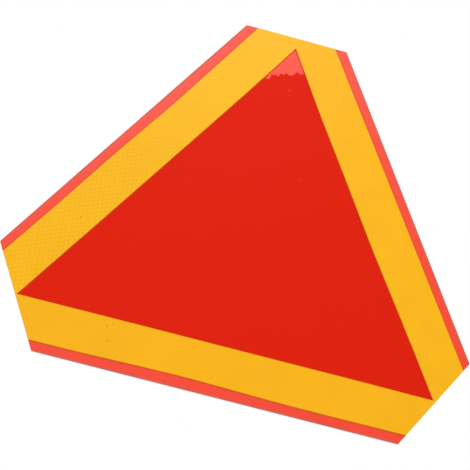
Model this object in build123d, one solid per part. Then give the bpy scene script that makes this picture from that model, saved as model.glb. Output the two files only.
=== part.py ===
from build123d import *
import os
from math import sqrt

# Slow moving vehicle sign: a flat metal sheet with a light red film all over its face,
# a deep red film in the middle and three yellow reflective bands laid round it by hand.
# Millimetres. The sign stands upright with its point up: X is its width, Z its height, and it faces -Y.
# The origin lies on the back face, behind the centre of the red triangle.

# Driving dimensions

# Side of the red triangle that the three bands leave open
TRIANGLE_SIDE = 360.0

# Width of each yellow band at the middle of its length
BAND_WIDTH_BOTTOM = 36.7
BAND_WIDTH_RIGHT = 37.9
BAND_WIDTH_LEFT = 37.9

# Light red margin between each band and the edge of the sheet
MARGIN_BOTTOM = 9.8
MARGIN_RIGHT = 8.9
MARGIN_LEFT = 9.6

# How far each corner cut passes outside the corner of the red triangle
CORNER_GAP_TOP = 11.4
CORNER_GAP_RIGHT = 3.9
CORNER_GAP_LEFT = 4.3

# Lean of the bands' inner edges from a true triangle, in degrees, as they were laid by hand
INNER_LEAN_BOTTOM = 0.21
INNER_LEAN_RIGHT = 0.39
INNER_LEAN_LEFT = -0.48

# Lean of the sheet's long edges, in degrees, as it was sheared
SHEET_LEAN_BOTTOM = 0.16
SHEET_LEAN_RIGHT = -0.30
SHEET_LEAN_LEFT = 0.36

# Thickness of each layer
SHEET_THICKNESS = 1.5
FACE_FILM_THICKNESS = 0.15
CENTRE_FILM_THICKNESS = 0.12
BAND_THICKNESS = 0.35

# Rounding of the sheet's six corners, and the broken arris along its back edges
CORNER_RADIUS = 0.8
EDGE_BREAK = 0.25

# Where the centre film stops short of the top corner: how far below it, how far its end leans in degrees,
# and how far the ragged end stands above a straight cut, at even steps from right to left
FILM_END_DROP = 28.4
FILM_END_LEAN = 22.0
RAGGED_END = (
    0.0, 0.7, 0.1, 2.9, 2.8, 0.8, 0.1, 0.1, 0.1, 2.8, 2.0,
    0.8, 3.2, 1.0, 0.0, 2.5, 1.2, 2.9, -0.4, -2.4, -1.1, -1.3,
)

# How far each hand-cut edge wanders outwards at even steps along it, counter-clockwise round the sign
WANDER_BOTTOM_OUTER = (1.15, 0.3, -1.05, 0.0, 0.35, -0.1)
WANDER_LEFT_OUTER = (0.75, -0.1, -0.75, 0.15, -0.35, 0.15)
WANDER_BOTTOM_INNER = (0.4, 0.2, 0.15, 0.25, 0.2, 0.55)
WANDER_RIGHT_INNER = (0.6, 0.35, -0.55, 0.1, 0.45, 2.15)
WANDER_LEFT_INNER = (1.0, 0.2, 0.0, 0.0, 0.1, 0.4)

# How far the centre film's blank reaches under the bands before their inner edges trim it
FILM_TRIM = 3.0

# Bearings of the three sides and three corners in the plane of the face, in degrees from +X
BOTTOM, RIGHT, LEFT = -90, 30, 150
TOP_CORNER, RIGHT_CORNER, LEFT_CORNER = 90, -30, 210

inner_distance = TRIANGLE_SIDE / (2 * sqrt(3))
corner_distance = 2 * inner_distance
face_height = SHEET_THICKNESS
film_height = face_height + FACE_FILM_THICKNESS


class Edge:
    """A nearly straight edge in the plane of the face, set by its distance from the centre and its bearing."""

    def __init__(self, distance, bearing, wander=()):
        self.out = Vector(1, 0).rotate(Axis.Z, bearing)
        self.along = Vector(0, 1).rotate(Axis.Z, bearing)
        self.distance = distance
        self.wander = wander

    def meet(self, other):
        """The point where this edge's line crosses the line of another edge."""
        reach = other.distance - self.distance * self.out.dot(other.out)
        return self.out * self.distance + self.along * (reach / self.along.dot(other.out))

    def at(self, place, offset):
        """The point at a place along the edge, moved outwards by an offset."""
        return self.out * (self.distance + offset) + self.along * place

    def stations(self, start, end):
        """The points of a wandering edge, at even steps from one point to the other."""
        first = start.dot(self.along)
        pitch = (end.dot(self.along) - first) / (len(self.wander) - 1)
        return [self.at(first + index * pitch, offset) for index, offset in enumerate(self.wander)]

    def cut_line(self, start, end, overrun):
        """The edge as it was cut from one point to the other, with a straight overrun past both."""
        if not self.wander:
            return Polyline(start - self.along * overrun, end + self.along * overrun)
        points = self.stations(start, end)
        lead_in = Line(points[0] - self.along * overrun, points[0])
        wavering = Spline(*points, tangents=(self.along, self.along))
        lead_out = Line(points[-1], points[-1] + self.along * overrun)
        return lead_in + wavering + lead_out


inner = {
    BOTTOM: Edge(inner_distance, BOTTOM + INNER_LEAN_BOTTOM, WANDER_BOTTOM_INNER),
    RIGHT: Edge(inner_distance, RIGHT + INNER_LEAN_RIGHT, WANDER_RIGHT_INNER),
    LEFT: Edge(inner_distance, LEFT + INNER_LEAN_LEFT, WANDER_LEFT_INNER),
}
outer = {
    BOTTOM: Edge(inner_distance + BAND_WIDTH_BOTTOM, BOTTOM, WANDER_BOTTOM_OUTER),
    RIGHT: Edge(inner_distance + BAND_WIDTH_RIGHT, RIGHT),
    LEFT: Edge(inner_distance + BAND_WIDTH_LEFT, LEFT, WANDER_LEFT_OUTER),
}
sheet = {
    BOTTOM: Edge(inner_distance + BAND_WIDTH_BOTTOM + MARGIN_BOTTOM, BOTTOM + SHEET_LEAN_BOTTOM),
    RIGHT: Edge(inner_distance + BAND_WIDTH_RIGHT + MARGIN_RIGHT, RIGHT + SHEET_LEAN_RIGHT),
    LEFT: Edge(inner_distance + BAND_WIDTH_LEFT + MARGIN_LEFT, LEFT + SHEET_LEAN_LEFT),
}
cuts = {
    TOP_CORNER: Edge(corner_distance + CORNER_GAP_TOP, TOP_CORNER),
    RIGHT_CORNER: Edge(corner_distance + CORNER_GAP_RIGHT, RIGHT_CORNER),
    LEFT_CORNER: Edge(corner_distance + CORNER_GAP_LEFT, LEFT_CORNER),
}


def layer(outline, height, thickness):
    """A flat piece of the given outline, laid at a height over the back face."""
    return extrude(Plane.XZ.offset(height) * outline, thickness)


def sheet_outline():
    """The triangle with its three corners cut off, its six corners rounded."""
    ring = [
        sheet[BOTTOM],
        cuts[RIGHT_CORNER],
        sheet[RIGHT],
        cuts[TOP_CORNER],
        sheet[LEFT],
        cuts[LEFT_CORNER],
    ]
    corners = [edge.meet(after) for edge, after in zip(ring, ring[1:] + ring[:1])]
    plain = Polygon(*corners, align=None)
    return fillet(plain.vertices(), CORNER_RADIUS)


def backing_plate():
    """The metal sheet, with the sharp edge taken off all round its back."""
    plate = layer(sheet_outline(), 0, SHEET_THICKNESS)
    back = plate.faces().sort_by(Axis.Y)[-1]
    return chamfer(back.edges(), EDGE_BREAK)


def strip_outline(side, first_cut, last_cut):
    """One yellow strip between its inner and outer edges, longer than the sign at both ends."""
    overrun = outer[side].distance - inner[side].distance
    near = inner[side].cut_line(inner[side].meet(first_cut), inner[side].meet(last_cut), overrun)
    far = outer[side].cut_line(outer[side].meet(first_cut), outer[side].meet(last_cut), overrun)
    return make_face(near + Line(near @ 0, far @ 0) + far + Line(near @ 1, far @ 1))


def film_gap():
    """The top corner of the red triangle, down to the centre film's ragged end."""
    apex = inner[RIGHT].meet(inner[LEFT])
    end = Edge(0, TOP_CORNER + FILM_END_LEAN, RAGGED_END)
    end.distance = (apex - Vector(0, FILM_END_DROP)).dot(end.out)
    points = end.stations(end.meet(inner[RIGHT]), end.meet(inner[LEFT]))
    overrun = end.along * FILM_END_DROP
    rise = end.out * (2 * FILM_END_DROP)
    right, left = points[0] - overrun, points[-1] + overrun
    return Polygon(right, *points, left, left + rise, right + rise, align=None)


face = sheet_outline()
strips = {
    BOTTOM: strip_outline(BOTTOM, cuts[LEFT_CORNER], cuts[RIGHT_CORNER]),
    RIGHT: strip_outline(RIGHT, cuts[RIGHT_CORNER], cuts[TOP_CORNER]),
    LEFT: strip_outline(LEFT, cuts[TOP_CORNER], cuts[LEFT_CORNER]),
}

# Each band runs through at one end and butts against its neighbour at the other
bands = {
    "band_left": (strips[LEFT] - strips[BOTTOM]) & face,
    "band_bottom": (strips[BOTTOM] - strips[RIGHT]) & face,
    "band_right": (strips[RIGHT] - strips[LEFT]) & face,
}

# The centre film fills what the bands leave open, up to its ragged end below the top corner
blank_edges = [Edge(inner_distance + FILM_TRIM, side) for side in inner]
blank_corners = [edge.meet(after) for edge, after in zip(blank_edges, blank_edges[1:] + blank_edges[:1])]
film_blank = Polygon(*blank_corners, align=None)
for strip in strips.values():
    film_blank -= strip
centre = film_blank - film_gap()

parts = {
    "backing_plate": backing_plate(),
    "face_film": layer(face, face_height, FACE_FILM_THICKNESS),
    "centre_film": layer(centre, film_height, CENTRE_FILM_THICKNESS),
}
for name, outline in bands.items():
    parts[name] = layer(outline, film_height, BAND_THICKNESS)

os.makedirs("parts", exist_ok=True)
for name, shape in parts.items():
    export_step(shape, f"parts/{name}.step")
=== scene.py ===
"""Slow moving vehicle sign, dressed for the eye.

The sign is a sheared metal sheet with a light red film all over its face, a deep red film in the middle and
three yellow strips of honeycomb tape round it. The frame gives every outline. This script adds the relief of
the tape, the fine lines along the edges and the finish of each surface, and sets the floor, light and camera.

Lengths are metres. The sign stands upright: X runs to the right, Z up, and it faces -Y. A place on its face
is given in the plane of the face, with X to the right and Y up.
"""

import logging
import math
from collections.abc import Callable, Iterator
from contextlib import contextmanager
from dataclasses import dataclass, field, replace
from enum import Enum

import bmesh
import bpy
from mathutils import Matrix, Vector


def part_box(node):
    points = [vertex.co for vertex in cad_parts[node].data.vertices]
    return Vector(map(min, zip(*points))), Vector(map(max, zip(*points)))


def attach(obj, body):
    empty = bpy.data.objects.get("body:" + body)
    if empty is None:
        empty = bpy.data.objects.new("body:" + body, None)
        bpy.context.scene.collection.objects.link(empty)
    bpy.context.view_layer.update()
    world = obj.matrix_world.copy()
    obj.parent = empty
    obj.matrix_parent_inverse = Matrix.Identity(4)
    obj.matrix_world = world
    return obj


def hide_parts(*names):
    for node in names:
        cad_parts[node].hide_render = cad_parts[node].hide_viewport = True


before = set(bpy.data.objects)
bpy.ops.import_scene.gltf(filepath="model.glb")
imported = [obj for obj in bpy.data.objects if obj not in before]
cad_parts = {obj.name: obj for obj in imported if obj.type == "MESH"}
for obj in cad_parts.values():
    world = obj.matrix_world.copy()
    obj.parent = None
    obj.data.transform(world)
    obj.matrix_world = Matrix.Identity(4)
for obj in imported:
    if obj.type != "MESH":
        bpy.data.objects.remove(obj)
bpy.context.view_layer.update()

MM = 0.001
ROOT = "root"

# Turns a place in the plane of the face, given as X and Y, into the part's own axes
FACE_TO_WORLD = Matrix.Rotation(math.radians(90), 4, "X")

# Points this near are one point, and edges this straight are one edge
SAME_POINT = 0.002 * MM
STRAIGHT = math.radians(0.05)

# A face whose normal has more than this part of its length in a direction looks that way
LOOKS_THAT_WAY = 0.9

# The levels between which a noise turns from its darker to its lighter clouds
CLOUD_RANGE = (0.3, 0.7)

# A height that no part of the sign reaches
OVER_THE_SIGN = 1.0

Colour = tuple[float, float, float]
Axes = tuple[float, float, float]
Place = tuple[float, float]

log = logging.getLogger("sign")


class Side(Enum):
    """A side of the red triangle, by its bearing in degrees from +X in the plane of the face."""

    BOTTOM = -90.0
    RIGHT = 30.0
    LEFT = 150.0

    @property
    def turn(self) -> Matrix:
        """The turn from the face's own axes to the side's: X out of the side, Y along it."""
        return Matrix.Rotation(math.radians(self.value), 4, "Z")

    def direction(self, way: Axes) -> Vector:
        """A direction in the side's axes, turned into the part's own."""
        return (FACE_TO_WORLD @ self.turn).to_3x3() @ Vector(way)

    @property
    def along(self) -> Vector:
        """The direction of the side in the part's own axes."""
        return self.direction((0, 1, 0))


class Edge(Enum):
    """A long edge of a strip or film, by the way that its wall faces: away from the middle or towards it."""

    OUTER = 1.0
    INNER = -1.0


class Lie(Enum):
    """Which way a line lies from the wall that it follows: beside it, or back within the layer."""

    BESIDE = 1.0
    WITHIN = -1.0


class Slot(Enum):
    """The record's material slots."""

    METAL = "sheet_metal"
    LIGHT_RED = "light_red_film"
    DEEP_RED = "deep_red_film"
    YELLOW = "reflective_yellow"


class Value:
    """A number, colour or vector that varies over a surface. Python's own operators work on the numbers."""

    def __init__(self, graph: "Graph", socket: bpy.types.NodeSocket) -> None:
        """Wraps a socket.

        Args:
            graph: The graph that the socket belongs to.
            socket: The output that gives it.
        """
        self.graph = graph
        self.socket = socket

    def maths(self, operation: str, *values: "Value | float") -> "Value":
        """Adds one Math node.

        Args:
            operation: The node's operation.
            values: Its inputs in order.

        Returns:
            The node's result.
        """
        return self.graph.node("ShaderNodeMath", {"operation": operation}, dict(enumerate(values)))

    def __add__(self, other: "Value | float") -> "Value":
        """This and another."""
        return self.maths("ADD", self, other)

    def __sub__(self, other: "Value | float") -> "Value":
        """This less another."""
        return self.maths("SUBTRACT", self, other)

    def __rsub__(self, other: float) -> "Value":
        """A number less this."""
        return self.maths("SUBTRACT", other, self)

    def __mul__(self, other: "Value | float") -> "Value":
        """This times another."""
        return self.maths("MULTIPLY", self, other)

    __radd__ = __add__
    __rmul__ = __mul__

    def greater(self, other: "Value | float") -> "Value":
        """The greater of this and another."""
        return self.maths("MAXIMUM", self, other)


class Graph:
    """A tree of shader nodes, built up node by node."""

    def __init__(self, tree: bpy.types.NodeTree) -> None:
        """Takes up a tree.

        Args:
            tree: The node tree of a material or of the surroundings.
        """
        self.tree = tree
        self.nodes = tree.nodes

    def plug(self, socket: bpy.types.NodeSocket, value: "Value | float | Colour") -> None:
        """Links a value to a socket, or sets it there.

        Args:
            socket: The input.
            value: What it gets: a link, a number, or a colour or vector.
        """
        if isinstance(value, Value):
            self.tree.links.new(value.socket, socket)
        elif socket.type == "RGBA":
            socket.default_value = (*value[:3], 1.0)
        else:
            socket.default_value = value

    def node(
        self,
        kind: str,
        settings: dict[str, object] | None = None,
        sockets: dict[int | str, "Value | float | Colour"] | None = None,
        output: int | str = 0,
    ) -> Value:
        """Adds one node of any kind.

        Args:
            kind: The node's type.
            settings: What is set on the node itself first.
            sockets: Its inputs, by number or name.
            output: The output that is wanted, by number or name.

        Returns:
            That output.
        """
        made = self.nodes.new(kind)
        for name, setting in (settings or {}).items():
            setattr(made, name, setting)
        for name, value in (sockets or {}).items():
            self.plug(made.inputs[name], value)
        return Value(self, made.outputs[output])

    def place(self) -> Value:
        """The point on the surface, in the part's own axes."""
        return self.node("ShaderNodeTexCoord", output="Object")

    def coordinate(self, axis: str) -> Value:
        """One coordinate of the point on the surface."""
        return self.node("ShaderNodeSeparateXYZ", sockets={0: self.place()}, output=axis)

    def stretched(self, scale: Axes) -> Value:
        """The point on the surface with each axis scaled, for a grain that runs one way."""
        return self.node("ShaderNodeMapping", sockets={"Vector": self.place(), "Scale": scale})

    def noise(self, vector: Value, scale: float, detail: float = 2.0, roughness: float = 0.5) -> Value:
        """A cloudy number about 0.5.

        Args:
            vector: The point that it is read at.
            scale: How many clouds to a metre.
            detail: How many finer layers it has.
            roughness: How strong the finer layers are.

        Returns:
            The number at each point.
        """
        sockets = {"Vector": vector, "Scale": scale, "Detail": detail, "Roughness": roughness}
        return self.node("ShaderNodeTexNoise", {"noise_dimensions": "3D"}, sockets, "Fac")

    def ease(self, value: Value, start: float, end: float, low: float = 0.0, high: float = 1.0) -> Value:
        """Turns a number smoothly from one level into another.

        Args:
            value: The number.
            start: Where it starts to turn.
            end: Where it has turned.
            low: What is given at the start.
            high: What is given at the end.

        Returns:
            The eased number.
        """
        sockets = {"Value": value, "From Min": start, "From Max": end, "To Min": low, "To Max": high}
        return self.node("ShaderNodeMapRange", {"interpolation_type": "SMOOTHSTEP"}, sockets)

    def blend(self, factor: Value, first: "Value | Colour", second: "Value | Colour") -> Value:
        """Mixes two colours.

        Args:
            factor: 0 where the first shows, 1 where the second does.
            first: The first colour.
            second: The second colour.

        Returns:
            The mixed colour.
        """
        made = self.nodes.new("ShaderNodeMix")
        made.data_type = "RGBA"
        inputs = {socket.identifier: socket for socket in made.inputs}
        outputs = {socket.identifier: socket for socket in made.outputs}
        self.plug(inputs["Factor_Float"], factor)
        self.plug(inputs["A_Color"], first)
        self.plug(inputs["B_Color"], second)
        return Value(self, outputs["Result_Color"])

    def relief(self, height: Value, depth: float) -> Value:
        """A normal tilted by a height that varies over the surface.

        Args:
            height: The height, in parts of the depth.
            depth: The depth in metres.

        Returns:
            The tilted normal.
        """
        return self.node("ShaderNodeBump", sockets={"Height": height, "Distance": depth}, output="Normal")


class MaterialGraph(Graph):
    """The nodes of one material, with a Principled shader at their end."""

    def __init__(self, name: str) -> None:
        """Starts a material.

        Args:
            name: The material's name.
        """
        self.material = bpy.data.materials.new(name)
        self.material.use_nodes = True
        super().__init__(self.material.node_tree)
        self.shader = self.nodes["Principled BSDF"]

    def finish(self, **sockets: "Value | float | Colour") -> bpy.types.Material:
        """Feeds the shader.

        Args:
            sockets: The shader's inputs, with their spaces written as underscores.

        Returns:
            The finished material.
        """
        for name, value in sockets.items():
            self.plug(self.shader.inputs[name.replace("_", " ")], value)
        return self.material


@dataclass(frozen=True)
class Speck:
    """A small spot on a film: a grain of dirt or a pinhole.

    Attributes:
        place: Where it is on the face.
        radius: Its radius.
        strength: How much of its colour shows in its middle.
    """

    place: Place
    radius: float
    strength: float


@dataclass(frozen=True)
class Film:
    """A smooth plastic film of one colour, with a faint cloudiness and a few specks.

    Attributes:
        name: The material's name.
        colour: Its body colour.
        gloss: How strongly its surface mirrors, where 0.5 is plain plastic.
        roughness: How dull the reflection is.
        cloud: How much paler and deeper than the colour the clouds are, as a share.
        cloud_scale: How many clouds to a metre.
        haze: How much the roughness varies.
        haze_scale: How many hazy patches to a metre.
        ripple_depth: How deep the surface ripples.
        ripple_scale: How many ripples to a metre.
        speck_colour: The colour of the specks.
        speck_core: How much of a speck's radius has its full strength.
        specks: The specks.
    """

    name: str
    colour: Colour
    gloss: float
    roughness: float
    cloud: float = 0.02
    cloud_scale: float = 28.0
    haze: float = 0.12
    haze_scale: float = 60.0
    ripple_depth: float = 0.01 * MM
    ripple_scale: float = 420.0
    speck_colour: Colour = (0.0, 0.0, 0.0)
    speck_core: float = 0.3
    specks: tuple[Speck, ...] = ()

    def body_colour(self, graph: Graph) -> Value:
        """The film's colour at each point.

        Args:
            graph: The material's graph.

        Returns:
            The colour with its clouds and specks.
        """
        cloud = graph.noise(graph.place(), scale=self.cloud_scale, detail=3.0)
        paler = tuple(min(1.0, level * (1 + self.cloud)) for level in self.colour)
        deeper = tuple(level * (1 - self.cloud) for level in self.colour)
        colour = graph.blend(graph.ease(cloud, *CLOUD_RANGE), deeper, paler)
        for speck in self.specks:
            spot = FACE_TO_WORLD @ Vector((*speck.place, 0))
            without_depth = {0: graph.place(), 1: (1.0, 0.0, 1.0)}
            flat = graph.node("ShaderNodeVectorMath", {"operation": "MULTIPLY"}, without_depth)
            gap = graph.node("ShaderNodeVectorMath", {"operation": "DISTANCE"}, {0: flat, 1: spot}, "Value")
            mask = graph.ease(gap, speck.radius, self.speck_core * speck.radius, 0.0, speck.strength)
            colour = graph.blend(mask, colour, self.speck_colour)
        return colour

    def material(self) -> bpy.types.Material:
        """The film's material."""
        graph = MaterialGraph(self.name)
        ripple = graph.noise(graph.place(), scale=self.ripple_scale)
        haze = graph.noise(graph.place(), scale=self.haze_scale, detail=4.0)
        return graph.finish(
            Base_Color=self.body_colour(graph),
            Roughness=self.roughness + (haze - 0.5) * self.haze,
            Normal=graph.relief(ripple, self.ripple_depth),
            Specular_IOR_Level=self.gloss,
        )


@dataclass(frozen=True)
class ShadeOnFilms(Film):
    """The shade at the foot of a strip, where it lies on one film and, above a height, on another.

    Attributes:
        upper_colour: The shade's colour on the upper film.
        upper_from: The height from which the upper film is the one below it.
        change_within: The height over which the colour changes.
    """

    upper_colour: Colour = (0.0, 0.0, 0.0)
    upper_from: float = OVER_THE_SIGN
    change_within: float = 1.5 * MM

    def body_colour(self, graph: Graph) -> Value:
        """The shade's colour at each point.

        Args:
            graph: The material's graph.

        Returns:
            The colour on whichever film lies under it.
        """
        upper = graph.ease(graph.coordinate("Z"), self.upper_from - self.change_within, self.upper_from)
        return graph.blend(upper, super().body_colour(graph), self.upper_colour)


@dataclass(frozen=True)
class SealLine:
    """The pressed line between the cells of the tape, a little darker, with painted shade that fades along
    the strip.

    Attributes:
        name: The material's name.
        film: The film that the tape is made of.
        side: The side that the strip lies along.
        strength: How much of the line's colour, with its painted shade, shows at most.
        full_at: How far along the strip it and its painted shade show most.
        gone_at: How far along the strip its painted shade has faded away.
        line_colour: The colour that the line tends to.
        rougher: How much duller than the film it is.
        grain: How much its roughness varies.
        grain_scale: How many grains to a metre.
    """

    name: str
    film: Film
    side: Side
    strength: float
    full_at: float
    gone_at: float
    line_colour: Colour = (0.70, 0.27, 0.006)
    rougher: float = 0.1
    grain: float = 0.1
    grain_scale: float = 900.0

    def material(self) -> bpy.types.Material:
        """The line's material, whose painted shade fades into the film's colour along the strip."""
        graph = MaterialGraph(self.name)
        ends = {0: graph.place(), 1: self.side.along}
        along = graph.node("ShaderNodeVectorMath", {"operation": "DOT_PRODUCT"}, ends, "Value")
        # Painted shade: how strongly the line shows is set by its place along the strip
        line_and_painted_shade = graph.ease(along, self.gone_at, self.full_at, 0.0, self.strength)
        colour = graph.blend(line_and_painted_shade, self.film.body_colour(graph), self.line_colour)
        grain = graph.noise(graph.place(), scale=self.grain_scale)
        return graph.finish(
            Base_Color=colour,
            Roughness=self.film.roughness + self.rougher + (grain - 0.5) * self.grain,
            Specular_IOR_Level=self.film.gloss,
        )


@dataclass(frozen=True)
class MillMetal:
    """Bare rolled sheet: a fine grain along the roll, cloudy patches, light rubs and a bright cut edge.

    Attributes:
        name: The material's name.
        colour: The metal at its brightest.
        dull: The metal at its dullest.
        rubbed: Where it was rubbed.
        fresh_cut: Its cut edge.
        back_depth: How far from the back the cut edge begins.
        roughness: How dull the reflection is.
        grain_run: How many grains to a metre along each axis.
        grain_share: How much of the shade is grain.
        grain_depth: How deep the grain is.
        grain_dulls: How much the roughness varies with the grain.
        streak_run: How many broad streaks to a metre along each axis.
        streak_share: How much of the shade is streaks.
        patch_scale: How many cloudy patches to a metre.
        patch_share: How much of the shade is patches.
        patch_dulls: How much the patches add to the roughness.
        rub_run: How many rubs to a metre along each axis.
        rub_range: The levels of the noise between which a rub begins.
        rub_strength: How much of the rubbed colour shows.
        rub_polishes: How much a rub takes off the roughness.
    """

    name: str = "mill_metal"
    colour: Colour = (0.77, 0.778, 0.785)
    dull: Colour = (0.56, 0.57, 0.58)
    rubbed: Colour = (0.80, 0.81, 0.82)
    fresh_cut: Colour = (0.86, 0.865, 0.87)
    back_depth: float = 0.04 * MM
    roughness: float = 0.34
    grain_run: Axes = (12.0, 400.0, 2600.0)
    grain_share: float = 0.45
    grain_depth: float = 0.02 * MM
    grain_dulls: float = 0.25
    streak_run: Axes = (3.0, 60.0, 260.0)
    streak_share: float = 0.3
    patch_scale: float = 9.0
    patch_share: float = 0.25
    patch_dulls: float = 0.12
    rub_run: Axes = (90.0, 60.0, 14.0)
    rub_range: tuple[float, float] = (0.66, 0.74)
    rub_strength: float = 0.35
    rub_polishes: float = 0.06

    def material(self) -> bpy.types.Material:
        """The metal's material."""
        graph = MaterialGraph(self.name)
        grain = graph.noise(graph.stretched(self.grain_run), scale=1.0, detail=5.0, roughness=0.65)
        streak = graph.noise(graph.stretched(self.streak_run), scale=1.0, detail=3.0)
        patch = graph.noise(graph.place(), scale=self.patch_scale, detail=4.0, roughness=0.55)
        rub = graph.noise(graph.stretched(self.rub_run), scale=1.0, detail=6.0, roughness=0.7)
        scuffs = graph.ease(rub, *self.rub_range)
        shade = grain * self.grain_share + streak * self.streak_share + patch * self.patch_share
        colour = graph.blend(graph.ease(shade, *CLOUD_RANGE), self.dull, self.colour)
        colour = graph.blend(scuffs * self.rub_strength, colour, self.rubbed)
        cut = graph.ease(graph.coordinate("Y"), -self.back_depth, -2 * self.back_depth)
        colour = graph.blend(cut, colour, self.fresh_cut)
        dullness = self.roughness + (grain - 0.5) * self.grain_dulls + patch * self.patch_dulls
        return graph.finish(
            Base_Color=colour,
            Metallic=1.0,
            Roughness=dullness - scuffs * self.rub_polishes,
            Normal=graph.relief(grain, self.grain_depth),
        )


@dataclass(frozen=True)
class PaleFloor:
    """The plain floor, which shows white to the camera and still keeps the object's shadow.

    Attributes:
        name: The material's name.
        level: How pale it is.
        cloud: How much paler its clouds are.
        cloud_scale: How many clouds to a metre.
        lift: How much brighter the camera sees it than the lamps light it.
        roughness: How dull it is.
    """

    name: str = "pale_floor"
    level: float = 0.85
    cloud: float = 0.02
    cloud_scale: float = 3.0
    lift: float = 0.45
    roughness: float = 0.9

    def material(self) -> bpy.types.Material:
        """The floor's material."""
        graph = MaterialGraph(self.name)
        tone = graph.noise(graph.place(), scale=self.cloud_scale)
        colour = graph.blend(tone, (self.level,) * 3, (self.level + self.cloud,) * 3)
        seen = graph.node("ShaderNodeLightPath", output="Is Camera Ray")
        return graph.finish(
            Base_Color=colour,
            Roughness=self.roughness,
            Specular_IOR_Level=0.0,
            Emission_Color=graph.blend(seen, (0.0, 0.0, 0.0), (self.lift,) * 3),
            Emission_Strength=1.0,
        )


# The films and tapes, as the photo shows them
LIGHT_RED = Film("light_red_film", (0.915, 0.0375, 0.005), gloss=0.5, roughness=0.45)
DEEP_RED = Film(
    "deep_red_film",
    (0.750, 0.0145, 0.0032),
    gloss=0.035,
    roughness=0.40,
    cloud=0.006,
    speck_colour=(0.93, 0.10, 0.07),
    specks=(Speck((3.5 * MM, 161.2 * MM), 1.9 * MM, 0.36), Speck((31.4 * MM, 71.9 * MM), 1.9 * MM, 0.18)),
)
LEFT_TAPE = Film(
    "left_tape",
    (0.962, 0.492, 0.003),
    gloss=0.16,
    roughness=0.30,
    speck_colour=(0.42, 0.13, 0.006),
    specks=(
        Speck((-149.4 * MM, -20.2 * MM), 1.0 * MM, 0.75),
        Speck((-142.4 * MM, -21.1 * MM), 1.2 * MM, 0.35),
        Speck((-144.4 * MM, -34.8 * MM), 1.0 * MM, 0.55),
    ),
)
RIGHT_TAPE = replace(LEFT_TAPE, name="right_tape", colour=(0.965, 0.478, 0.0035), specks=())
BOTTOM_TAPE = replace(
    LEFT_TAPE,
    name="bottom_tape",
    colour=(0.965, 0.467, 0.003),
    specks=(
        Speck((-102.9 * MM, -112.5 * MM), 1.6 * MM, 0.37),
        Speck((-98.7 * MM, -109.9 * MM), 1.4 * MM, 0.28),
        Speck((-99.7 * MM, -125.8 * MM), 1.5 * MM, 0.31),
    ),
)

# The pressed lines, which the photo shows only at the left
# Each pressed line is darkened with painted shade, strongest at the left and fading along its strip
LEFT_SEAL = SealLine("seal_left", LEFT_TAPE, Side.LEFT, strength=0.5, full_at=0.05, gone_at=-0.11)
BOTTOM_SEAL = SealLine("seal_bottom", BOTTOM_TAPE, Side.BOTTOM, strength=0.28, full_at=-0.15, gone_at=-0.05)
RIGHT_SEAL = SealLine("seal_right", RIGHT_TAPE, Side.RIGHT, strength=0.06, full_at=-0.2, gone_at=0.2)

# The fine lines along the edges
SHADE_ON_LIGHT_RED = Film("shade_on_light_red", (0.70, 0.090, 0.004), gloss=0.2, roughness=0.5, cloud=0.08)
SHADE_ON_DEEP_RED = {
    side: ShadeOnFilms(
        f"shade_on_deep_red_{side.name.lower()}",
        (0.64, 0.031, 0.001),
        gloss=0.03,
        roughness=0.5,
        cloud=0.08,
        upper_colour=(0.80, 0.090, 0.030),
        upper_from=upper_from,
    )
    for side, upper_from in ((Side.LEFT, 172.0 * MM), (Side.RIGHT, 187.0 * MM), (Side.BOTTOM, OVER_THE_SIGN))
}
# A darker line along the outer edge of the face film, laid as a thin strip
DARK_RIM = Film("worn_rim", (0.55, 0.128, 0.098), gloss=0.2, roughness=0.5, cloud=0.10)

# How much of each band's inner edge the next band covers, from the corner where the side begins
COVERED = {Side.LEFT: 11.4 * MM, Side.RIGHT: 1.2 * MM, Side.BOTTOM: 0.2 * MM}


def alone(piece: bpy.types.Object) -> None:
    """Selects one object and nothing else.

    Args:
        piece: The object, which becomes the active one.
    """
    bpy.ops.object.select_all(action="DESELECT")
    piece.hide_set(False)
    piece.select_set(True)
    bpy.context.view_layer.objects.active = piece


@contextmanager
def editing(piece: bpy.types.Object) -> Iterator[None]:
    """Opens an object in edit mode for as long as the block lasts.

    Args:
        piece: The object.
    """
    alone(piece)
    bpy.ops.object.mode_set(mode="EDIT")
    yield
    bpy.ops.object.mode_set(mode="OBJECT")


def pick_faces(piece: bpy.types.Object, wanted: Callable[[bmesh.types.BMFace], bool]) -> None:
    """Selects the faces that pass a test and no others, in edit mode.

    Args:
        piece: The object that is being edited.
        wanted: The test.
    """
    bpy.ops.mesh.select_mode(type="FACE")
    bpy.ops.mesh.select_all(action="DESELECT")
    mesh = bmesh.from_edit_mesh(piece.data)
    for face in mesh.faces:
        face.select_set(wanted(face))
    bmesh.update_edit_mesh(piece.data)


def looks_forward(face: bmesh.types.BMFace) -> bool:
    """Tells whether a face is part of a layer's front."""
    return -face.normal.y > LOOKS_THAT_WAY


def pick_edges(piece: bpy.types.Object, wanted: Callable[[Vector, Vector], bool]) -> None:
    """Selects the edges whose ends pass a test and no others, in edit mode.

    Args:
        piece: The object that is being edited.
        wanted: The test.
    """
    bpy.ops.mesh.select_mode(type="EDGE")
    bpy.ops.mesh.select_all(action="DESELECT")
    mesh = bmesh.from_edit_mesh(piece.data)
    for edge in mesh.edges:
        edge.select_set(wanted(edge.verts[0].co, edge.verts[1].co))
    bmesh.update_edit_mesh(piece.data)


def pick_vertices(piece: bpy.types.Object, wanted: Callable[[Vector], bool]) -> None:
    """Selects the vertices whose places pass a test and no others, in edit mode.

    Args:
        piece: The object that is being edited.
        wanted: The test.
    """
    bpy.ops.mesh.select_mode(type="VERT")
    bpy.ops.mesh.select_all(action="DESELECT")
    mesh = bmesh.from_edit_mesh(piece.data)
    for vertex in mesh.verts:
        vertex.select_set(wanted(vertex.co))
    mesh.select_flush_mode()
    bmesh.update_edit_mesh(piece.data)


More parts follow.
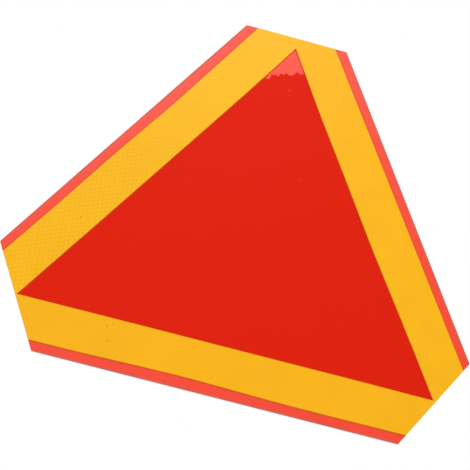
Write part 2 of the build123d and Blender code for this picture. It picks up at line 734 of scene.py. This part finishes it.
def repeat(piece: bpy.types.Object, count: int, step: Vector, join_within: float) -> None:
    """Repeats an object's mesh in a row, with its meeting vertices joined.

    Args:
        piece: The object.
        count: How many there are then.
        step: The way from one to the next.
        join_within: How near two vertices are that become one.
    """
    alone(piece)
    row = piece.modifiers.new("row", "ARRAY")
    row.count = count
    row.use_relative_offset = False
    row.use_constant_offset = True
    row.constant_offset_displace = step
    row.use_merge_vertices = True
    row.merge_threshold = join_within
    bpy.ops.object.modifier_apply(modifier=row.name)


def settle(piece: bpy.types.Object, place: Matrix) -> None:
    """Puts an object in its place and leaves the place in its mesh.

    Args:
        piece: The object.
        place: Where it goes.
    """
    alone(piece)
    piece.matrix_world = place @ piece.matrix_world
    bpy.ops.object.transform_apply(location=True, rotation=True, scale=True)


def outline_of(node: str, name: str) -> bpy.types.Object:
    """Copies the front of a frame node into a new object, as one flat face.

    Args:
        node: The node.
        name: The copy's name.

    Returns:
        The copy, with no material.
    """
    copy = bpy.data.objects.new(name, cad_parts[node].data.copy())
    bpy.context.scene.collection.objects.link(copy)
    copy.data.materials.clear()
    with editing(copy):
        pick_faces(copy, lambda face: not looks_forward(face))
        bpy.ops.mesh.delete(type="FACE")
        bpy.ops.mesh.select_all(action="SELECT")
        bpy.ops.mesh.remove_doubles(threshold=SAME_POINT)
        bpy.ops.mesh.dissolve_limited(angle_limit=STRAIGHT)
    return copy


def reach_of(node: str, side: Side) -> tuple[Vector, Vector]:
    """How far a frame node reaches in a side's axes: X outwards, Y along, Z out of the face.

    Args:
        node: The node.
        side: The side.

    Returns:
        The lowest and the highest corner.
    """
    to_side = (FACE_TO_WORLD @ side.turn).inverted()
    places = [to_side @ vertex.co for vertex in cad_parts[node].data.vertices]
    low = Vector(min(place[axis] for place in places) for axis in range(3))
    high = Vector(max(place[axis] for place in places) for axis in range(3))
    return low, high


@dataclass(frozen=True)
class Cell:
    """One cell of the tape: a low six-sided cushion inside a pressed line, longer across the strip.

    Attributes:
        column: How far apart the columns of cells are, along the strip.
        across: The cell's size across the strip.
        line_width: The width of the pressed line between two cells.
        slope: How wide the cushion's rising rim is.
        rise: How high that rim rises.
        crown: How much higher the cushion's middle is.
    """

    column: float = 3.29 * MM
    across: float = 4.83 * MM
    line_width: float = 0.36 * MM
    slope: float = 0.24 * MM
    rise: float = 0.012 * MM
    crown: float = 0.004 * MM

    @property
    def height(self) -> float:
        """How far the middle of the cushion stands over the pressed line."""
        return self.rise + self.crown

    @property
    def tip(self) -> float:
        """How far the cell's tip is from its middle, where three cells are equally near."""
        return (self.column**2 + (self.across / 2) ** 2) / (2 * self.column)

    @property
    def shoulder(self) -> float:
        """How far along the strip the cell's flat side reaches from its middle."""
        return self.column - self.tip

    def build(self) -> bpy.types.Object:
        """Models one cell: X across the strip, Y along it, with the pressed line at height 0.

        Returns:
            The cell, with its pressed line in the second material.
        """
        bpy.ops.object.select_all(action="DESELECT")
        bpy.ops.mesh.primitive_circle_add(vertices=6, radius=self.tip, fill_type="NGON")
        cell = bpy.context.object
        cell.data.materials.append(None)
        cell.data.materials.append(None)
        with editing(cell):
            pick_vertices(cell, lambda place: abs(place.x) > self.tip / 2)
            corner_x = self.tip * math.cos(math.radians(30))
            corner_y = self.tip / 2
            bpy.ops.transform.resize(value=(self.across / 2 / corner_x, self.shoulder / corner_y, 1.0))
            bpy.ops.mesh.select_mode(type="FACE")
            bpy.ops.mesh.select_all(action="SELECT")
            bpy.ops.mesh.inset(thickness=self.line_width / 2)
            cell.active_material_index = 1
            bpy.ops.mesh.select_all(action="INVERT")
            bpy.ops.object.material_slot_assign()
            bpy.ops.mesh.select_all(action="INVERT")
            bpy.ops.mesh.inset(thickness=self.slope, depth=self.rise)
            bpy.ops.mesh.poke(offset=self.crown)
        return cell


@dataclass
class ReflectiveBand:
    """One yellow strip of honeycomb tape, cut to the outline that the frame gives.

    Attributes:
        node: The frame node that it stands for.
        side: The side that it lies along.
        line: The finish of its pressed lines, which knows the film between them too.
        cell: The cell that repeats over it.
        edge_bevel: The bevel of its cut edges.
        spare: How far the slab and the blank reach past each other before the trim.
        join_within: How near two corners of neighbouring cells are that become one.
        hair: How far its cells stay behind the frame's own front.
        smooth_below: The sharpest fold that is shaded smooth.
        cells_to_spare: How many rows and columns it has more than it needs.
    """

    node: str
    side: Side
    line: SealLine
    cell: Cell = field(default_factory=Cell)
    edge_bevel: float = 0.10 * MM
    spare: float = 0.25 * MM
    join_within: float = 0.01 * MM
    hair: float = 0.0005 * MM
    smooth_below: float = math.radians(6)
    cells_to_spare: int = 2

    def build(self) -> bpy.types.Object:
        """Models the strip.

        Returns:
            The strip, in the place of its node.
        """
        sheet = self.cell_sheet()
        blank = self.cutter()
        alone(sheet)
        trim = sheet.modifiers.new("trim", "BOOLEAN")
        trim.operation = "INTERSECT"
        trim.solver = "EXACT"
        trim.material_mode = "INDEX"
        trim.object = blank
        bpy.ops.object.modifier_apply(modifier=trim.name)
        bpy.data.objects.remove(blank)
        alone(sheet)
        bpy.ops.object.shade_smooth_by_angle(angle=self.smooth_below)
        sheet.name = f"{self.node}_tape"
        return sheet

    def cell_sheet(self) -> bpy.types.Object:
        """Models a slab with cells all over its front, larger than the strip on every side but the front.

        Returns:
            The slab, in the part's own axes.
        """
        low, high = reach_of(self.node, self.side)
        slab = self.cell.build()
        pair = Vector((self.cell.across / 2, self.cell.column, 0))
        with editing(slab):
            bpy.ops.mesh.select_all(action="SELECT")
            bpy.ops.mesh.duplicate_move(TRANSFORM_OT_translate={"value": pair})
            bpy.ops.mesh.select_all(action="SELECT")
            bpy.ops.mesh.remove_doubles(threshold=self.join_within)
        pitch = Vector((self.cell.across, 2 * self.cell.column, 0))
        rows = math.ceil((high.x - low.x) / pitch.x) + self.cells_to_spare
        columns = math.ceil((high.y - low.y) / pitch.y) + self.cells_to_spare
        repeat(slab, rows, Vector((pitch.x, 0, 0)), self.join_within)
        repeat(slab, columns, Vector((0, pitch.y, 0)), self.join_within)
        with editing(slab):
            bpy.ops.mesh.select_all(action="SELECT")
            bpy.ops.mesh.remove_doubles(threshold=self.join_within)
            bpy.ops.mesh.select_mode(type="EDGE")
            bpy.ops.mesh.select_all(action="DESELECT")
            bpy.ops.mesh.select_non_manifold()
            drop = low.z - high.z + self.cell.height - self.spare
            bpy.ops.mesh.extrude_edges_move(TRANSFORM_OT_translate={"value": (0, 0, drop)})
            bpy.ops.mesh.edge_face_add()
            bpy.ops.mesh.select_all(action="SELECT")
            bpy.ops.mesh.normals_make_consistent(inside=False)
        corner = Vector((low.x - pitch.x / 2, low.y - pitch.y / 2, high.z - self.cell.height - self.hair))
        settle(slab, FACE_TO_WORLD @ self.side.turn @ Matrix.Translation(corner))
        return slab

    def cutter(self) -> bpy.types.Object:
        """Models the blank that trims the slab: the strip's outline, drawn in slightly at the front edge.

        Returns:
            The blank, in the part's own axes.
        """
        front, back = (corner.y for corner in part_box(self.node))
        blank = outline_of(self.node, f"{self.node}_blank")
        blank.data.materials.append(None)
        blank.data.materials.append(None)
        with editing(blank):
            bpy.ops.mesh.select_all(action="SELECT")
            bpy.ops.mesh.remove_doubles(threshold=self.edge_bevel)
            bpy.ops.transform.translate(value=(0, self.edge_bevel, 0))
            depth = back - front - self.edge_bevel
            bpy.ops.mesh.extrude_region_move(TRANSFORM_OT_translate={"value": (0, depth, 0)})
            bpy.ops.mesh.select_all(action="SELECT")
            bpy.ops.mesh.normals_make_consistent(inside=False)
            pick_faces(blank, looks_forward)
            bpy.ops.mesh.inset(thickness=self.spare, depth=0.0, use_even_offset=True)
            bpy.ops.transform.translate(value=(0, -self.spare, 0))
        return blank

    def dress(self, piece: bpy.types.Object) -> None:
        """Gives the strip its finish.

        Args:
            piece: The strip.
        """
        piece.data.materials[0] = self.line.film.material()
        piece.data.materials[1] = self.line.material()
        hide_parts(self.node)
        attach(piece, ROOT)
        log.info("%s: %d faces", piece.name, len(piece.data.polygons))


@dataclass
class PlainLayer:
    """A flat piece whose frame node has its full form, and only needs its finish.

    Attributes:
        node: The frame node.
        finish: Its finish.
        slot: The record's slot that the finish belongs to. It is not used.
    """

    node: str
    finish: Film | MillMetal
    slot: Slot

    def build(self) -> bpy.types.Object:
        """The node itself."""
        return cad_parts[self.node]

    def dress(self, piece: bpy.types.Object) -> None:
        """Gives the piece its finish.

        Args:
            piece: The node.
        """
        piece.data.materials.clear()
        piece.data.materials.append(self.finish.material())
        log.info("%s: %d faces", piece.name, len(piece.data.polygons))


@dataclass
class EdgeLine:
    """A fine line along a long edge: the painted shade at the foot of a strip, or a darker rim along the edge
    of the face film.

    Attributes:
        name: The line's name.
        node: The frame node whose edge it follows.
        side: The side that the edge lies along.
        edge: Which of the node's two long edges it is.
        lie: Whether the line lies beside the edge or within it.
        on: The frame node that it lies on.
        finish: Its finish.
        slot: The record's slot that the finish belongs to. It is not used.
        width: The line's width.
        gap: How far from the edge it begins.
        sink: How deep it reaches into what it lies on.
        lift: How far it stands out of what it lies on.
        stop_short: How far it ends before the edge does.
        covered: How much of the edge the next band covers, from the end where the side begins.
        along_edge: How much of its length a stretch of outline has along the side, to be part of the edge.
    """

    name: str
    node: str
    side: Side
    edge: Edge
    lie: Lie
    on: str
    finish: Film
    slot: Slot
    width: float = 0.9 * MM
    gap: float = 0.36 * MM
    sink: float = 0.02 * MM
    lift: float = 0.04 * MM
    stop_short: float = 1.0 * MM
    covered: float = 0.0
    along_edge: float = 0.997

    def build(self) -> bpy.types.Object:
        """Models the line from the front of the edge that it follows.

        Returns:
            The line, in the place of its edge.
        """
        facing = self.side.direction((self.edge.value, 0, 0))
        low, high = reach_of(self.node, self.side)
        middle = self.edge.value * (low.x + high.x) / 2
        to_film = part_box(self.on)[0].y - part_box(self.node)[0].y
        across = self.lie.value * facing
        line = outline_of(self.node, self.name)
        with editing(line):
            bpy.ops.mesh.select_all(action="SELECT")
            bpy.ops.mesh.delete(type="ONLY_FACE")
            pick_edges(line, lambda start, end: not self.follows(start, end, facing, middle))
            bpy.ops.mesh.delete(type="EDGE")
            self.shorten(line)
            bpy.ops.mesh.select_all(action="SELECT")
            to_place = self.gap * across + Vector((0, to_film - self.lift, 0))
            bpy.ops.transform.translate(value=to_place)
            bpy.ops.mesh.extrude_edges_move(TRANSFORM_OT_translate={"value": self.width * across})
            bpy.ops.mesh.select_all(action="SELECT")
            thickness = Vector((0, self.lift + self.sink, 0))
            bpy.ops.mesh.extrude_region_move(TRANSFORM_OT_translate={"value": thickness})
            bpy.ops.mesh.select_all(action="SELECT")
            bpy.ops.mesh.normals_make_consistent(inside=False)
        return line

    def follows(self, start: Vector, end: Vector, facing: Vector, middle: float) -> bool:
        """Tells whether a stretch of the outline belongs to the long edge.

        Args:
            start: One end of the stretch.
            end: Its other end.
            facing: The way that the long edge's wall faces.
            middle: How far that way the middle of the layer is.

        Returns:
            True where it runs along the side and lies on the wanted half of the layer.
        """
        runs_along = abs((end - start).normalized().dot(self.side.along)) > self.along_edge
        return runs_along and facing.dot(start + end) / 2 > middle

    def shorten(self, line: bpy.types.Object) -> None:
        """Cuts both ends off the chain of edges, in edit mode, with what the next band covers.

        Args:
            line: The object that holds the chain.
        """
        for way, stop in ((1, self.stop_short), (-1, self.covered + self.stop_short)):
            along = way * self.side.along
            reach = max(along.dot(vertex.co) for vertex in bmesh.from_edit_mesh(line.data).verts)
            bpy.ops.mesh.select_all(action="SELECT")
            bpy.ops.mesh.bisect(plane_co=(reach - stop) * along, plane_no=along, clear_outer=True)

    def dress(self, piece: bpy.types.Object) -> None:
        """Gives the line its finish.

        Args:
            piece: The line.
        """
        piece.data.materials.append(self.finish.material())
        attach(piece, ROOT)
        log.info("%s: %d faces", piece.name, len(piece.data.polygons))


@dataclass
class Studio:
    """The plain floor, the soft lamp and the white surroundings.

    Attributes:
        floor_height: The height of the floor.
        floor_size: The side of the floor.
        floor_cuts: How many times each of its sides is cut.
        sky: How strongly the surroundings light the sign, where 1 is white.
        lamp_place: Where the lamp hangs. It shines at the origin.
        lamp_size: The lamp's diameter.
        lamp_power: The lamp's power in watts.
    """

    floor_height: float = -0.95
    floor_size: float = 40.0
    floor_cuts: int = 3
    sky: float = 0.62
    lamp_place: Axes = (-0.5, -2.2, 2.9)
    lamp_size: float = 2.2
    lamp_power: float = 75.0

    def build(self) -> None:
        """Sets the studio up."""
        self.floor()
        self.lamp()
        self.surroundings()

    def floor(self) -> None:
        """Lays the floor."""
        bpy.ops.object.select_all(action="DESELECT")
        bpy.ops.mesh.primitive_plane_add(size=self.floor_size, location=(0, 0, self.floor_height))
        floor = bpy.context.object
        floor.name = "floor"
        with editing(floor):
            bpy.ops.mesh.subdivide(number_cuts=self.floor_cuts)
        settle(floor, Matrix.Identity(4))
        floor.data.materials.append(PaleFloor().material())

    def lamp(self) -> None:
        """Hangs the soft lamp in front of the sign and above it."""
        data = bpy.data.lights.new("soft_lamp", "AREA")
        data.shape = "DISK"
        data.size = self.lamp_size
        data.energy = self.lamp_power
        lamp = bpy.data.objects.new("soft_lamp", data)
        bpy.context.scene.collection.objects.link(lamp)
        lamp.location = self.lamp_place
        lamp.rotation_euler = (-Vector(self.lamp_place)).to_track_quat("-Z", "Y").to_euler()

    def surroundings(self) -> None:
        """Makes the surroundings white to the eye and in reflections, and softer as a light."""
        world = bpy.data.worlds.new("surroundings")
        world.use_nodes = True
        bpy.context.scene.world = world
        graph = Graph(world.node_tree)
        seen = graph.node("ShaderNodeLightPath", output="Is Camera Ray")
        mirrored = graph.node("ShaderNodeLightPath", output="Is Glossy Ray")
        passed = graph.node("ShaderNodeLightPath", output="Is Transmission Ray")
        white = seen.greater(mirrored).greater(passed)
        ground = graph.nodes["Background"]
        graph.plug(ground.inputs["Color"], (1.0, 1.0, 1.0))
        graph.plug(ground.inputs["Strength"], white * (1.0 - self.sky) + self.sky)


@dataclass
class PhotoCamera:
    """The camera of the photo: low in front of the sign, looking up at it, tilted to one side.

    Attributes:
        place: Where it is.
        aim: What the middle of the picture shows.
        roll: How far it is tilted, in degrees.
        lens: Its focal length in millimetres.
        sensor: The width of its sensor in millimetres.
        nearest: The nearest that it sees.
        farthest: The farthest that it sees.
    """

    place: Vector = field(default_factory=lambda: Vector((-0.09181, -1.15750, -0.58770)))
    aim: Vector = field(default_factory=lambda: Vector((-0.01535, -0.00180, 0.00109)))
    roll: float = 13.10
    lens: float = 113.4
    sensor: float = 36.0
    nearest: float = 0.05
    farthest: float = 100.0

    def build(self) -> None:
        """Sets the camera up."""
        data = bpy.data.cameras.new("camera")
        data.lens = self.lens
        data.sensor_width = self.sensor
        data.sensor_fit = "HORIZONTAL"
        data.clip_start = self.nearest
        data.clip_end = self.farthest
        camera = bpy.data.objects.new("camera", data)
        bpy.context.scene.collection.objects.link(camera)
        level = (self.aim - self.place).to_track_quat("-Z", "Y").to_matrix().to_4x4()
        tilt = Matrix.Rotation(math.radians(self.roll), 4, "Z")
        camera.matrix_world = Matrix.Translation(self.place) @ level @ tilt
        bpy.context.scene.camera = camera


def edge_lines(side: Side) -> list[EdgeLine]:
    """Gives the three fine lines of one side.

    Args:
        side: The side.

    Returns:
        The painted shade outside the band, the painted shade inside it, and the darker rim along the face
        film's edge.
    """
    name = side.name.lower()
    outer = EdgeLine(
        name=f"{name}_outer_shade",
        node=f"band_{name}",
        side=side,
        edge=Edge.OUTER,
        lie=Lie.BESIDE,
        on="face_film",
        finish=SHADE_ON_LIGHT_RED,
        slot=Slot.LIGHT_RED,
    )
    inner = replace(
        outer,
        name=f"{name}_inner_shade",
        edge=Edge.INNER,
        on="centre_film",
        finish=SHADE_ON_DEEP_RED[side],
        slot=Slot.DEEP_RED,
        covered=COVERED[side],
    )
    rim = replace(outer, name=f"{name}_worn_rim", node="face_film", lie=Lie.WITHIN, finish=DARK_RIM)
    return [outer, inner, rim]


def main() -> None:
    """Sets the camera and the studio, then builds and dresses the sign piece by piece."""
    logging.basicConfig(level=logging.INFO, format="%(name)s: %(message)s")
    bpy.context.scene.view_settings.view_transform = "Standard"
    PhotoCamera().build()
    Studio().build()
    parts = [
        PlainLayer("backing_plate", MillMetal(), Slot.METAL),
        PlainLayer("face_film", LIGHT_RED, Slot.LIGHT_RED),
        PlainLayer("centre_film", DEEP_RED, Slot.DEEP_RED),
        ReflectiveBand("band_left", Side.LEFT, LEFT_SEAL),
        ReflectiveBand("band_bottom", Side.BOTTOM, BOTTOM_SEAL),
        ReflectiveBand("band_right", Side.RIGHT, RIGHT_SEAL),
    ]
    for side in Side:
        parts += edge_lines(side)
    for part in parts:
        part.dress(part.build())


if __name__ == "__main__":
    main()
